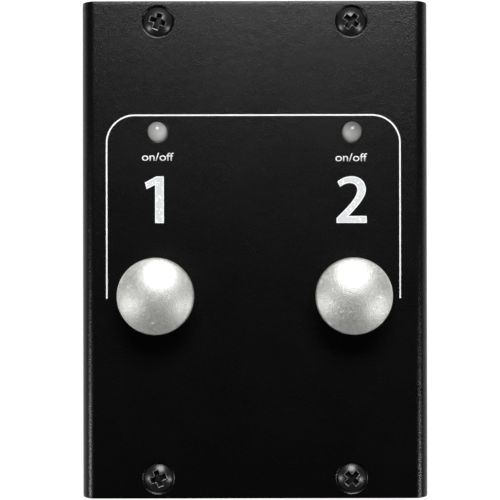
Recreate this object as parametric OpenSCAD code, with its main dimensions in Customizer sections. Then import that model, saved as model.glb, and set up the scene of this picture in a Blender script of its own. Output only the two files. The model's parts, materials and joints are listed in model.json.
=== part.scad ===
// Two-button amplifier footswitch: a folded sheet-metal case with two latching foot buttons,
// two indicator lamps and a jack socket in the rear wall.
// Millimetres. +X is to the player's right, +Y to the rear (the jack side), +Z up.
// The origin is on the floor, in the middle of the whole outline.

/* [Case] */
// Width of the cover, side to side
case_w = 90.4; // [82:0.2:108]
// Length of the cover, front to rear
case_l = 129.6; // [120:0.2:160]
// Height of the case, from the chassis underside to the top face
case_h = 36; // [34:1:50]
// Thickness of the cover and chassis sheet
sheet_t = 1.5; // [1:0.1:2]
// Outside radius of the sheet bends
bend_r = 3.5; // [2.2:0.1:4]
// Step from the cover's end down to the chassis end wall
wall_inset = 0.5; // [0.2:0.1:1.5]
// Gap between the chassis edges and the cover's sides
side_gap = 0.3; // [0.1:0.05:1]
// Depth of the flanges that carry the cover, from the wall's outside
flange_w = 11; // [9:0.5:16]

/* [Cover screws] */
// Distance between the screws, side to side
screw_pitch = 50.4; // [30:0.2:64]
// Distance from a screw to the cover's end
screw_edge = 5.3; // [5:0.1:7]
// Thread diameter of a cover screw
screw_d = 4; // [3:0.5:4]
// Diameter of the screw's head
screw_head_d = 7.5; // [7:0.1:8.4]
// Diameter of the countersink at the top face
sink_d = 8.4; // [8.3:0.1:9.2]
// Height of the head's raised crown
screw_crown = 1.3; // [0.6:0.1:1.8]
// Length of the screw from the head's rim to its tip
screw_len = 9; // [7:0.5:14]
// Width of a wing of the cross recess
cross_w = 1.4; // [0.6:0.1:1.5]
// Span of the cross recess
cross_span = 4.4; // [3:0.1:5]
// Depth of the cross recess below the crown
cross_depth = 2.1; // [1:0.1:2.4]
// Outside diameter of the tapped collar under the flange
collar_d = 5.2; // [4.8:0.1:5.4]
// Height of the tapped collar below the flange
collar_h = 2.5; // [1:0.5:5]

/* [Foot buttons] */
// Distance between the buttons
button_pitch = 50.4; // [38:0.2:58]
// Place of the buttons along the case, from its middle
button_y = -11.8; // [-26:0.2:0]
// Diameter of a button cap
button_d = 19.6; // [17:0.1:24]
// Radius of the dome on a cap
dome_r = 16; // [12:0.5:30]
// Radius of the rounding between dome and skirt
dome_edge_r = 1.1; // [0.5:0.1:2]
// Height of the straight skirt
skirt_h = 2; // [1.5:0.1:5]
// How far a button is pressed
button_travel = 3.5; // [2:0.1:4]
// Diameter of the spigot that holds the cap
spigot_d = 6.4; // [5:0.1:8]
// Height of the spigot inside the cap
spigot_h = 3.4; // [2:0.1:4]

/* [Switches] */
// Thread diameter of the switch bushing
bushing_d = 12; // [11.5:0.5:12.5]
// Height of the bushing above the top face
bushing_rise = 3.9; // [3.2:0.1:6]
// Distance from the cover's underside to the switch frame
switch_drop = 4; // [3:0.1:6]
// Diameter of the plunger
plunger_d = 9; // [8:0.1:9.5]
// Diameter of the plunger's stop collar
stop_d = 10.6; // [10:0.1:10.8]
// Thickness of the stop collar
stop_t = 1.4; // [1:0.1:2]
// Diameter of the plunger's lower nose
nose_d = 6; // [5:0.1:6.2]
// Height of the four drive teeth under the nose
tooth_h = 0.8; // [0.4:0.1:1.2]
// Thickness of the switch frame's plate
frame_t = 1.5; // [1:0.1:2]
// Thickness of the frame's folded legs
leg_t = 0.8; // [0.5:0.1:1.2]
// Width of the switch housing, side to side
housing_w = 13; // [12.6:0.1:16]
// Length of the switch housing, front to rear
housing_l = 17.5; // [14:0.5:22]
// Height of the switch housing
housing_h = 12.5; // [12:0.1:15]
// Diameter of the spring chamber in the housing
chamber_d = 11.2; // [11.2:0.1:11.6]
// Height of the rotor chamber in the housing
rotor_room = 3.3; // [3.2:0.1:4.5]
// Thickness of the ledge that carries the return spring
ledge_t = 1.2; // [0.8:0.1:2]
// Wire diameter of the return spring
spring_wire = 0.6; // [0.4:0.1:0.7]
// Mean diameter of the return spring
spring_d = 8.8; // [7.4:0.1:9]
// Turns of the return spring
spring_turns = 4; // [3:1:5]
// Thickness of the terminal base
terminal_t = 2; // [1.5:0.1:3]
// Across flats of the panel nuts
nut_af = 14; // [14:0.5:17]
// Height of the nut on top of the panel
top_nut_h = 2.2; // [1.5:0.1:2.4]
// Height of the nut behind the panel
back_nut_h = 2; // [1.5:0.1:2.2]
// Thickness of the nylon washer on the panel and of the lock washer behind it
washer_t = 0.8; // [0.5:0.1:0.8]
// Outside diameter of those washers
washer_d = 16; // [15:0.5:18]

/* [Rotor] */
// Diameter of the ratchet rotor
rotor_d = 9.6; // [9:0.1:9.8]
// Thickness of the rotor's disc
rotor_t = 1; // [0.8:0.1:1.2]
// Height of the rotor's disc above the terminal base
rotor_lift = 0.7; // [0.6:0.05:0.9]
// Height of the ratchet ring on the rotor
ratchet_h = 1.3; // [0.8:0.1:1.3]
// Wall of the ratchet ring
ratchet_wall = 0.9; // [0.6:0.1:1]
// Diameter of the rotor's spindle
spindle_d = 1.6; // [1.2:0.1:2]
// Length of the rotor's spindle below the disc
spindle_l = 2; // [1.2:0.1:2.1]
// Thickness of the rotor's contact arcs
arc_t = 0.3; // [0.2:0.05:0.35]
// Diameter of the circle on which the contacts lie
contact_circle = 8; // [7.6:0.1:8.2]

/* [Terminals] */
// Diameter of a fixed contact's head
contact_d = 1.1; // [0.8:0.1:1.4]
// Height of a fixed contact's head
contact_h = 0.2; // [0.1:0.05:0.25]
// Thickness of a terminal lug
lug_t = 0.8; // [0.5:0.1:1]
// Width of a terminal lug
lug_w = 2; // [1.5:0.1:2.4]
// Length of a terminal lug below the circuit board
lug_tail = 1.5; // [0.5:0.1:3]

/* [Lamps] */
// Distance between the lamps
lamp_pitch = 50.4; // [38:0.2:64]
// Place of the lamps along the case, from its middle
lamp_y = 30.6; // [22:0.2:34]
// Diameter of a lamp's lens
lamp_d = 5; // [4.8:0.1:5.2]
// Height of the straight part of the lens above the top face
lamp_rise = 2.6; // [0.5:0.1:3.2]
// Length of the straight part of the lens with its flange
lamp_body = 6.1; // [5:0.1:8]
// Diameter of the lamp's flange
lamp_flange_d = 5.8; // [5.4:0.1:6.2]
// Thickness of the lamp's flange
lamp_flange_t = 1; // [0.5:0.1:1.5]
// Gap around the lens in the cover
lamp_gap = 0.2; // [0.05:0.05:0.3]
// Distance between the lamp's leads
lead_pitch = 2.54; // [2:0.02:3]
// Thickness of a square lead
lead_t = 0.5; // [0.4:0.05:0.6]
// Length of a lead below the circuit board
lead_tail = 1; // [0.5:0.1:2]
// Bore of the tube that holds the lamp up
spacer_bore = 4.2; // [4:0.1:4.8]

/* [Circuit board] */
// Thickness of the board
board_t = 1.6; // [1:0.1:2]
// Width of the board
board_w = 70; // [66:1:74]
// Gap between the terminal base and the board
board_drop = 2.5; // [2:0.1:4]
// Margin of the board past the switch housings and the lamps
board_margin = 4; // [3:0.5:8]
// Distance between the two resistors
resistor_pitch = 24; // [20:1:28]
// Place of the resistors along the case, from its middle
resistor_y = 14; // [10:0.5:18]
// Diameter of a resistor's body
resistor_d = 2.3; // [1.6:0.1:3]
// Length of a resistor's body
resistor_l = 6.2; // [4:0.1:8]
// Distance between a resistor's two leads
resistor_lead_pitch = 10; // [9:0.5:12]

/* [Jack] */
// Diameter of the plug bore, for a 6.35 mm plug
plug_bore_d = 6.5; // [6.4:0.05:6.8]
// Thread diameter of the jack's bushing
jack_thread_d = 9.5; // [9:0.1:10]
// Height of the jack's axis above the circuit board
jack_lift = 4; // [2:0.5:8]
// Width of the jack's housing
jack_w = 16; // [14:0.5:20]
// Height of the jack's housing
jack_h = 14; // [13:0.5:16]
// Depth of the jack's housing behind the wall
jack_depth = 27; // [26:0.5:30]
// Thickness of the housing's closed end
jack_end = 1.2; // [0.8:0.1:2]
// Length of the bushing inside the housing
jack_seat = 5.5; // [4:0.5:7]
// Diameter of the bushing's shoulder
shoulder_d = 12; // [11:0.1:13]
// Thickness of the bushing's shoulder
shoulder_t = 1; // [0.6:0.1:1.5]
// Thickness of the jack's washer
jack_washer_t = 0.6; // [0.4:0.1:1]
// Outside diameter of the jack's washer
jack_washer_d = 13.4; // [12.8:0.1:16]
// Height of the jack's nut
jack_nut_h = 2.2; // [1.8:0.1:3]
// Across flats of the jack's nut
jack_nut_af = 12.7; // [12:0.1:14]
// How far the bushing stands out of the nut
bushing_end = 0.3; // [0.1:0.1:1]
// Distance from the bore's axis to the contact springs
blade_r = 4.5; // [4.4:0.1:5]
// Thickness of a contact spring
blade_t = 0.4; // [0.3:0.05:0.5]
// Width of a contact spring
blade_w = 3; // [2:0.1:3]
// Length of a contact spring's solder lug behind the housing
solder_lug = 5; // [3:0.5:7]
// Diameter of the wires to the circuit board
wire_d = 1.2; // [0.8:0.1:1.6]

/* [Feet] */
// Distance between the feet, side to side
foot_pitch_x = 68; // [54:1:70]
// Distance between the feet, front to rear
foot_pitch_y = 109; // [88:1:111]
// Diameter of a foot where it meets the case
foot_d = 13; // [11:0.5:16]
// Taper of a foot's side, on the radius
foot_taper = 0.6; // [0:0.1:1]
// Height of a foot
foot_h = 4; // [3.5:0.1:8]
// Depth of the screw recess in a foot
recess_depth = 2.4; // [2.2:0.1:3]
// Diameter of the screw recess in a foot
recess_d = 6.4; // [6:0.1:8]
// Thread diameter of a foot screw
foot_screw_d = 3; // [2.5:0.5:3]
// Head diameter of a foot screw
foot_head_d = 5.6; // [5:0.1:5.8]
// Head height of a foot screw
foot_head_h = 2; // [1.5:0.1:2.1]
// Length of a foot screw's thread above the chassis sheet
foot_tail = 3.4; // [2.6:0.1:5]
// Across flats of a foot nut
foot_nut_af = 5.5; // [5:0.1:6]
// Height of a foot nut
foot_nut_h = 2.4; // [1.8:0.1:2.5]

/* [Clearances] */
// Gap of a thread in its nut or tapped hole
thread_gap = 0.05; // [0.02:0.01:0.1]
// Running gap of the plunger in its bushing and of the rotor's spindle
run_gap = 0.05; // [0.02:0.01:0.09]
// Gap between pieces that are fixed together
fit_gap = 0.05; // [0.02:0.01:0.1]
// Gap of a bolt or bushing in a plain hole
hole_gap = 0.2; // [0.1:0.05:0.4]
// Room left at the end of a press
press_room = 0.4; // [0.3:0.05:0.8]

/* [Hidden] */
$fn = 64;

// A cut runs this far past the face it opens
past = 1;

// Heights
z_case = foot_h;
z_top = z_case + case_h;
z_under = z_top - sheet_t;
z_frame = z_under - switch_drop;
z_housing = z_frame - frame_t;
z_floor = z_housing - housing_h;
z_terminal = z_floor - terminal_t;
z_board = z_terminal - board_drop;
z_board_under = z_board - board_t;
z_jack = z_board + jack_lift;

// Case
chassis_w = case_w - 2 * (sheet_t + side_gap);
wall_y = case_l / 2 - wall_inset;
inner_y = wall_y - sheet_t;
relief_x = case_w / 2 - bend_r - side_gap;

// Cover screws, with the turn of each cross recess
screw_y = case_l / 2 - screw_edge;
screw_places = [[-1, 1, -19], [1, 1, -37], [-1, -1, 19], [1, -1, 45]];
z_rim = z_top - (sink_d - screw_head_d) / 2 + fit_gap;
neck_r = sink_d / 2 - sheet_t + fit_gap;
crown_r = (pow(screw_head_d / 2, 2) + pow(screw_crown, 2)) / (2 * screw_crown);

// Button cap, its dome tangent to the rounding above the skirt
z_skirt = z_top + bushing_rise + button_travel + press_room;
z_widest = z_skirt + skirt_h;
edge_x = button_d / 2 - dome_edge_r;
z_dome = z_widest - sqrt(pow(dome_r - dome_edge_r, 2) - pow(edge_x, 2));
cap_wall = 1.3;
cap_groove = 1.5;

// Inside a switch
z_stop = z_housing - fit_gap;
z_spring_top = z_stop - stop_t;
z_ledge = z_floor + rotor_room + ledge_t;
z_rotor = z_floor + rotor_lift;
z_disc = z_rotor + rotor_t;
z_nose = z_disc + press_room + button_travel;
nose_room = 0.3;
ratchet_in = nose_d / 2 + nose_room;
contact_angle = 32;
arc_half = 38;
arc_w = 1.4;
tooth_w = 0.8;
notch_w = 1.2;
foot_tab = 1.5;

// Circuit board
board_front = button_y - housing_l / 2 - board_margin;
board_rear = lamp_y + board_margin;
board_gap = 1;
pad_y = 19;
lead_r = 0.3;

// Lamps
z_lens = z_top + lamp_rise - lamp_body;

// Jack
jack_rear = inner_y - jack_depth;
jack_mouth = wall_y + jack_washer_t + jack_nut_h + bushing_end;
bore_end = jack_rear + jack_end;
slot_gap = 0.1;
nose_l = 2.3;
window_l = 3;
lug_end = jack_rear - solder_lug;
// Tip, ring and sleeve springs around the bore, their noses evenly spaced behind the bushing
free_bore = inner_y - jack_seat - bore_end;
contacts = [for (i = [0 : 2]) [90 * i, bore_end + (i + 1) * free_bore / 4]];
// Straight run of a wire at each of its ends
wire_lead = 4;

// Feet
foot_places = [for (x = [-1, 1], y = [-1, 1]) [x * foot_pitch_x / 2, y * foot_pitch_y / 2]];
z_seat = recess_depth;

// The whole outline is centred on the origin
origin_y = -(jack_mouth - case_l / 2) / 2;

// Puts a piece drawn about the middle of the cover into the part's own frame
module in_frame() {
    translate([0, origin_y, 0]) children();
}

// Puts a piece on the axis of one of the two switches: -1 is left, 1 is right
module at_switch(side) {
    in_frame() translate([side * button_pitch / 2, button_y, 0]) children();
}

// Puts a piece on the axis of both switches
module at_switches() {
    for (side = [-1, 1]) at_switch(side) children();
}

// Puts a piece on the axis of one of the two lamps
module at_lamp(side) {
    in_frame() translate([side * lamp_pitch / 2, lamp_y, 0]) children();
}

// Puts a piece drawn along +Z on the jack's axis, with +Z to the rear and +X to the right
module at_jack() {
    in_frame() translate([0, 0, z_jack]) rotate([-90, 0, 0]) children();
}

// Rectangle with round corners, its lower edge on the axis
module round_rect(w, h, r) {
    translate([-w / 2, r]) square([w, h - 2 * r]);
    translate([-w / 2 + r, 0]) square([w - 2 * r, h]);
    for (x = [-1, 1], y = [r, h - r]) translate([x * (w / 2 - r), y]) circle(r);
}

// Rectangle with round upper corners, its lower edge on the axis
module round_arch(w, h, r) {
    translate([-w / 2, 0]) square([w, h - r]);
    translate([-w / 2 + r, 0]) square([w - 2 * r, h]);
    for (x = [-1, 1]) translate([x * (w / 2 - r), h - r]) circle(r);
}

// Bar centred on the axis, from one height to another
module bar(size, low, high) {
    translate([-size[0] / 2, -size[1] / 2, low]) cube([size[0], size[1], high - low]);
}

// Round rod on the axis, from one height to another
module rod(r, low, high) {
    translate([0, 0, low]) cylinder(r = r, h = high - low);
}

// Ring on the axis, from one height to another
module ring(outer, inner, low, high) {
    difference() {
        rod(outer, low, high);
        rod(inner, low - past, high + past);
    }
}

// Six-sided nut on the axis, with a plain bore
module nut(af, bore_r, low, high) {
    difference() {
        translate([0, 0, low]) cylinder(d = af / cos(30), h = high - low, $fn = 6);
        rod(bore_r, low - past, high + past);
    }
}

// Closed tube through a list of rings of points
module skin(rings) {
    sides = len(rings[0]);
    last = len(rings) - 1;
    points = [for (r = rings, p = r) p];
    walls = [
        for (i = [0 : last - 1], j = [0 : sides - 1])
            let (a = i * sides + j, b = i * sides + (j + 1) % sides)
                each [[a, b + sides, b], [a, a + sides, b + sides]]
    ];
    ends = [
        for (j = [1 : sides - 2])
            each [[0, j, j + 1], [last * sides, last * sides + j + 1, last * sides + j]]
    ];
    polyhedron(points = points, faces = concat(walls, ends));
}

// Folded cover: top plate and two sides, with holes for lamps and switches and countersinks
module top_cover() {
    color("#17181a") in_frame() difference() {
        translate([0, 0, z_case]) rotate([90, 0, 0]) linear_extrude(case_l, center = true)
            difference() {
                round_arch(case_w, case_h, bend_r);
                translate([0, -past])
                    round_arch(case_w - 2 * sheet_t, case_h - sheet_t + past, bend_r - sheet_t);
            }
        for (s = screw_places)
            translate([s[0] * screw_pitch / 2, s[1] * screw_y, z_under])
                cylinder(r1 = sink_d / 2 - sheet_t, r2 = sink_d / 2, h = sheet_t);
        for (side = [-1, 1]) {
            translate([side * button_pitch / 2, button_y, 0])
                rod(bushing_d / 2 + hole_gap, z_under - past, z_top + past);
            translate([side * lamp_pitch / 2, lamp_y, 0])
                rod(lamp_d / 2 + lamp_gap, z_under - past, z_top + past);
        }
    }
}

// Folded chassis: base plate, two end walls and the flanges that the cover is screwed to
module base_chassis() {
    inner_r = bend_r - sheet_t;
    height = z_under - z_case;
    color("#1b1c1e") in_frame() difference() {
        union() {
            rotate([90, 0, 90]) linear_extrude(chassis_w, center = true) translate([0, z_case])
                difference() {
                    round_rect(2 * wall_y, height, bend_r);
                    translate([0, sheet_t])
                        round_rect(2 * inner_y, height - 2 * sheet_t, inner_r);
                    translate([-wall_y + flange_w, height / 2])
                        square([2 * (wall_y - flange_w), height]);
                }
            for (s = screw_places) translate([s[0] * screw_pitch / 2, s[1] * screw_y, 0])
                rod(collar_d / 2, z_under - sheet_t - collar_h, z_under - sheet_t / 2);
        }
        for (side = [-1, 1])
            translate([side * (relief_x + case_w / 2), 0, 0])
                bar([case_w, case_l], z_under - bend_r - side_gap, z_top);
        for (s = screw_places) translate([s[0] * screw_pitch / 2, s[1] * screw_y, 0]) {
            rod(screw_d / 2 + thread_gap, z_under - sheet_t - collar_h - past, z_top);
            translate([0, 0, z_under - neck_r])
                cylinder(r1 = 0, r2 = neck_r + past, h = neck_r + past);
        }
        for (p = foot_places) translate(p)
            rod(foot_screw_d / 2 + hole_gap, z_case - past, z_case + sheet_t + past);
        translate([0, inner_y - past, z_jack]) rotate([-90, 0, 0])
            cylinder(r = jack_thread_d / 2 + hole_gap, h = sheet_t + 2 * past);
    }
}

// One raised countersunk screw with a cross recess
module cover_screw(turn) {
    cone_h = (screw_head_d - screw_d) / 2;
    z_crown = z_rim + screw_crown;
    difference() {
        union() {
            intersection() {
                translate([0, 0, z_crown - crown_r]) sphere(crown_r);
                rod(screw_head_d / 2, z_rim, z_crown + past);
            }
            translate([0, 0, z_rim - cone_h])
                cylinder(d1 = screw_d, d2 = screw_head_d, h = cone_h);
            rod(screw_d / 2, z_rim - screw_len, z_rim - cone_h);
        }
        for (a = [0, 90]) rotate(turn + a)
            bar([cross_span, cross_w], z_crown - cross_depth, z_crown + past);
    }
}

// The four screws that hold the cover
module cover_screws() {
    color("#101113") in_frame() for (s = screw_places)
        translate([s[0] * screw_pitch / 2, s[1] * screw_y, 0]) cover_screw(s[2]);
}

// Four rubber feet, each with a recess for its screw
module rubber_feet() {
    color("#1a1a1a") in_frame() for (p = foot_places) translate(p) difference() {
        cylinder(r1 = foot_d / 2 - foot_taper, r2 = foot_d / 2, h = foot_h);
        rod(recess_d / 2, -past, z_seat);
        rod(foot_screw_d / 2 + hole_gap, 0, foot_h + past);
    }
}

// Pan-head screws that hold the feet
module foot_screws() {
    color("#8d8f92") in_frame() for (p = foot_places) translate(p) difference() {
        union() {
            rod(foot_head_d / 2, z_seat - foot_head_h, z_seat);
            rod(foot_screw_d / 2, z_seat, z_case + sheet_t + foot_tail);
        }
        for (a = [0, 90]) rotate(a)
            bar([foot_head_d / 2, foot_head_h / 3], -past, z_seat - foot_head_h / 2);
    }
}

// Nuts on the foot screws, inside the case
module foot_nuts() {
    z_plate = z_case + sheet_t;
    color("#a9abae") in_frame() for (p = foot_places) translate(p)
        nut(foot_nut_af, foot_screw_d / 2 + thread_gap, z_plate, z_plate + foot_nut_h);
}

// Outline of a cap, from its axis outward: dome, round edge and skirt
module cap_outline() {
    reach = 2 * dome_r;
    lean = asin(edge_x / (dome_r - dome_edge_r));
    intersection() {
        translate([0, z_dome]) circle(dome_r);
        polygon([
            [0, z_dome], [0, z_dome + reach],
            [reach * sin(lean), z_dome + reach * cos(lean)]
        ]);
    }
    translate([edge_x, z_widest]) circle(dome_edge_r);
    translate([0, z_skirt]) square([button_d / 2, skirt_h]);
}

// Turned metal cap, held by the plunger's spigot
module button_cap(side) {
    boss_r = plunger_d / 2 + hole_gap;
    color("#c3c4c6") at_switch(side) difference() {
        rotate_extrude() intersection() {
            cap_outline();
            translate([0, z_skirt]) square(button_d);
        }
        ring(button_d / 2 - cap_wall, boss_r, z_skirt - past, z_skirt + cap_groove);
        rod(spigot_d / 2 + fit_gap, z_skirt - past, z_skirt + spigot_h + fit_gap);
    }
}

// Plunger with spigot, stop collar, nose and drive teeth
module plunger(side) {
    color("#b9bbbd") at_switch(side) {
        rod(spigot_d / 2, z_skirt, z_skirt + spigot_h);
        rod(plunger_d / 2, z_stop, z_skirt);
        rod(stop_d / 2, z_spring_top, z_stop);
        rod(nose_d / 2, z_nose + tooth_h, z_spring_top);
        intersection() {
            rod(nose_d / 2, z_nose, z_nose + tooth_h);
            for (a = [0, 90]) rotate(a) bar([nose_d, tooth_w], z_nose, z_nose + tooth_h);
        }
    }
}

// Metal frame with the threaded bushing, and two legs folded under the terminal base
module switch_frame(side) {
    leg_y = housing_l / 2 + fit_gap;
    color("#b4b7ba") at_switch(side) difference() {
        union() {
            bar([housing_w, 2 * (leg_y + leg_t)], z_housing, z_frame);
            rod(bushing_d / 2, z_housing, z_top + bushing_rise);
            for (a = [0, 180]) rotate(a) {
                translate([0, leg_y + leg_t / 2, 0])
                    bar([housing_w / 2, leg_t], z_terminal - leg_t, z_housing);
                translate([0, leg_y + leg_t - foot_tab / 2 - leg_t / 2, 0])
                    bar([housing_w / 2, foot_tab + leg_t], z_terminal - leg_t, z_terminal);
            }
        }
        rod(plunger_d / 2 + run_gap, z_housing - past, z_top + bushing_rise + past);
    }
}

// Moulded housing: spring chamber above, ledge, rotor chamber below
module switch_housing(side) {
    color("#2b3a4a") at_switch(side) difference() {
        bar([housing_w, housing_l], z_floor, z_housing);
        rod(chamber_d / 2, z_ledge, z_housing + past);
        rod(ratchet_in, z_floor - past, z_ledge + past);
        rod(rotor_d / 2 + nose_room, z_floor - past, z_floor + rotor_room);
    }
}

// Return spring around the nose, between the ledge and the stop collar
module return_spring(side) {
    sides = 6;
    per_turn = 12;
    steps = per_turn * spring_turns;
    low = z_ledge + spring_wire / 2 + fit_gap;
    rise = z_spring_top - spring_wire / 2 - fit_gap - low;
    centres = [
        for (i = [0 : steps])
            let (a = 360 * i / per_turn)
                [spring_d / 2 * cos(a), spring_d / 2 * sin(a), low + rise * i / steps]
    ];
    gaps = [for (i = [0 : steps - per_turn]) norm(centres[i + per_turn] - centres[i]) - spring_wire];
    echo(least_gap_between_turns = min(gaps));
    color("#9a9da1") at_switch(side) skin([
        for (i = [0 : steps])
            let (a = 360 * i / per_turn)
                [for (j = [0 : sides - 1])
                    let (b = 360 * j / sides)
                        centres[i] + spring_wire / 2 * [cos(b) * cos(a), cos(b) * sin(a), sin(b)]]
    ]);
}

// Ratchet rotor: disc, notched ring and spindle
module ratchet_rotor(side) {
    color("#d8d4c4") at_switch(side) difference() {
        union() {
            rod(rotor_d / 2, z_rotor, z_disc);
            ring(ratchet_in + ratchet_wall, ratchet_in, z_disc - rotor_t / 2, z_disc + ratchet_h);
            rod(spindle_d / 2, z_rotor - spindle_l, z_rotor);
        }
        for (a = [45, 135]) rotate(a)
            bar([2 * rotor_d, notch_w], z_disc + ratchet_h / 2, z_disc + ratchet_h + past);
    }
}

// Two contact arcs under the rotor's disc, off the fixed contacts at rest
module rotor_contacts(side) {
    mean_r = contact_circle / 2;
    color("#c9a24a") at_switch(side) for (a = [90, 270])
        rotate(a - arc_half) rotate_extrude(angle = 2 * arc_half)
            translate([mean_r - arc_w / 2, z_rotor - arc_t]) square([arc_w, arc_t]);
}

// Places of the four fixed contacts of a switch
module at_contacts() {
    for (a = [-contact_angle, contact_angle, 180 - contact_angle, 180 + contact_angle])
        translate([cos(a), sin(a), 0] * contact_circle / 2) children();
}

// Moulded base that closes the housing and carries the lugs and the rotor's spindle
module terminal_base(side) {
    color("#3a2f28") at_switch(side) difference() {
        bar([housing_w, housing_l], z_terminal, z_floor);
        rod(spindle_d / 2 + run_gap, z_rotor - spindle_l - fit_gap, z_floor + past);
        at_contacts()
            bar([lug_t + 2 * fit_gap, lug_w + 2 * fit_gap], z_terminal - past, z_floor + past);
    }
}

// Four lugs of a switch, each with its contact head
module terminals(side) {
    color("#c8b98a") at_switch(side) at_contacts() {
        rod(contact_d / 2, z_floor, z_floor + contact_h);
        bar([lug_t, lug_w], z_board_under - lug_tail, z_floor);
    }
}

// Nuts that hold the switches on the top face
module panel_nuts() {
    z_nut = z_top + washer_t;
    color("#c0c2c4") at_switches()
        nut(nut_af, bushing_d / 2 + thread_gap, z_nut, z_nut + top_nut_h);
}

// Nylon washers between those nuts and the top face
module panel_washers() {
    color("#1d1d1f") at_switches()
        ring(washer_d / 2, bushing_d / 2 + hole_gap, z_top, z_top + washer_t);
}

// Lock washers behind the panel
module lock_washers() {
    color("#a8aaad") at_switches()
        ring(washer_d / 2, bushing_d / 2 + hole_gap, z_under - washer_t, z_under);
}

// Nuts behind the panel
module back_nuts() {
    z_nut = z_under - washer_t;
    color("#b5b7ba") at_switches()
        nut(nut_af, bushing_d / 2 + thread_gap, z_nut - back_nut_h, z_nut);
}

// Lamp lens: flange, straight body and round top
module led_lens(side) {
    color("#b8bab8") at_lamp(side) {
        rod(lamp_flange_d / 2, z_lens, z_lens + lamp_flange_t);
        rod(lamp_d / 2, z_lens, z_top + lamp_rise);
        intersection() {
            translate([0, 0, z_top + lamp_rise]) sphere(d = lamp_d);
            rod(lamp_d, z_top + lamp_rise, z_top + lamp_rise + lamp_d);
        }
    }
}

// Two square leads under each lamp, through the circuit board
module led_leads() {
    color("#c4c6c8") for (side = [-1, 1], x = [-1, 1]) at_lamp(side)
        translate([x * lead_pitch / 2, 0, 0])
            bar([lead_t, lead_t], z_board_under - lead_tail, z_lens);
}

// Tubes that hold the lamps up from the circuit board
module led_spacers() {
    color("#262628") for (side = [-1, 1]) at_lamp(side)
        ring(lamp_flange_d / 2, spacer_bore / 2, z_board, z_lens);
}

// Circuit board carried by the switch lugs, cut away around the jack
module circuit_board() {
    hole_r = lead_t / sqrt(2) + slot_gap;
    color("#2f5d3a") difference() {
        in_frame() translate([-board_w / 2, board_front, z_board_under])
            cube([board_w, board_rear - board_front, board_t]);
        in_frame() translate([0, jack_rear - board_gap + board_rear, 0])
            bar([jack_w + 2 * board_gap, 2 * board_rear], z_board_under - past, z_board + past);
        at_switches() at_contacts()
            bar([lug_t + 2 * slot_gap, lug_w + 2 * slot_gap], z_board_under - past, z_board + past);
        for (side = [-1, 1], x = [-1, 1]) {
            at_lamp(side) translate([x * lead_pitch / 2, 0, 0])
                rod(hole_r, z_board_under - past, z_board + past);
            in_frame() translate([side * resistor_pitch / 2, resistor_y, 0])
                translate([0, x * resistor_lead_pitch / 2, 0])
                    rod(lead_r + slot_gap, z_board_under - past, z_board + past);
        }
    }
}

// One resistor for each lamp, lying on the circuit board
module resistors() {
    z_axis = z_board + resistor_d / 2 + fit_gap;
    reach = resistor_lead_pitch / 2;
    color("#c7b48a") in_frame() for (side = [-1, 1])
        translate([side * resistor_pitch / 2, resistor_y, 0]) {
            translate([0, 0, z_axis]) rotate([90, 0, 0]) {
                cylinder(d = resistor_d, h = resistor_l, center = true);
                cylinder(r = lead_r, h = resistor_lead_pitch, center = true);
            }
            for (y = [-reach, reach]) translate([0, y, 0]) {
                rod(lead_r, z_board_under - lead_tail, z_axis);
                translate([0, 0, z_axis]) sphere(lead_r);
            }
        }
}

// Moulded jack housing: plug bore, seat for the bushing and slots for the contact springs
module jack_housing() {
    color("#202124") at_jack() difference() {
        bar([jack_w, jack_h], jack_rear, inner_y);
        rod(plug_bore_d / 2, bore_end, inner_y + past);
        rod(jack_thread_d / 2 + fit_gap, inner_y - jack_seat, inner_y + past);
        rod(shoulder_d / 2 + fit_gap, inner_y - shoulder_t, inner_y + past);
        for (c = contacts) rotate(c[0]) {
            translate([-blade_r - blade_t / 2, 0, 0])
                bar([blade_t + 2 * slot_gap, blade_w + 2 * slot_gap],
                    jack_rear - past, c[1] + window_l / 2);
            translate([-blade_r / 2 - blade_t / 2, 0, 0])
                bar([blade_r, blade_w + 2 * slot_gap], c[1] - window_l / 2, c[1] + window_l / 2);
        }
    }
}

// Threaded bushing through the rear wall, with the plug's bore
module jack_bushing() {
    color("#b9bbbe") at_jack() difference() {
        union() {
            rod(jack_thread_d / 2, inner_y - jack_seat, jack_mouth);
            rod(shoulder_d / 2, inner_y - shoulder_t, inner_y);
        }
        rod(plug_bore_d / 2, inner_y - jack_seat - past, jack_mouth + past);
    }
}

// Washer under the jack's nut
module jack_washer() {
    color("#a5a7aa") at_jack()
        ring(jack_washer_d / 2, jack_thread_d / 2 + hole_gap, wall_y, wall_y + jack_washer_t);
}

// Nut that holds the jack in the rear wall
module jack_nut() {
    z_nut = wall_y + jack_washer_t;
    color("#bcbec1") at_jack()
        nut(jack_nut_af, jack_thread_d / 2 + thread_gap, z_nut, z_nut + jack_nut_h);
}

// Tip, ring and sleeve springs, each with a nose at the bore and a solder lug behind
module jack_contacts() {
    nose_r = blade_r - plug_bore_d / 2 - slot_gap;
    color("#c9b27a") at_jack() for (c = contacts) rotate(c[0]) {
        translate([-blade_r - blade_t / 2, 0, 0])
            bar([blade_t, blade_w], lug_end, c[1] + nose_l / 2);
        intersection() {
            translate([-blade_r, 0, c[1]]) rotate([90, 0, 0])
                cylinder(r = nose_r, h = blade_w, center = true);
            translate([-blade_r / 2, 0, 0])
                bar([blade_r, blade_w], c[1] - nose_l, c[1] + nose_l);
        }
    }
}

// Point of a cubic curve
function curve(p, t) =
    pow(1 - t, 3) * p[0] + 3 * t * pow(1 - t, 2) * p[1] + 3 * t * t * (1 - t) * p[2] + pow(t, 3) * p[3];

// Slope of a cubic curve
function slope(p, t) =
    3 * pow(1 - t, 2) * (p[1] - p[0]) + 6 * t * (1 - t) * (p[2] - p[1]) + 3 * t * t * (p[3] - p[2]);

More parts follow.
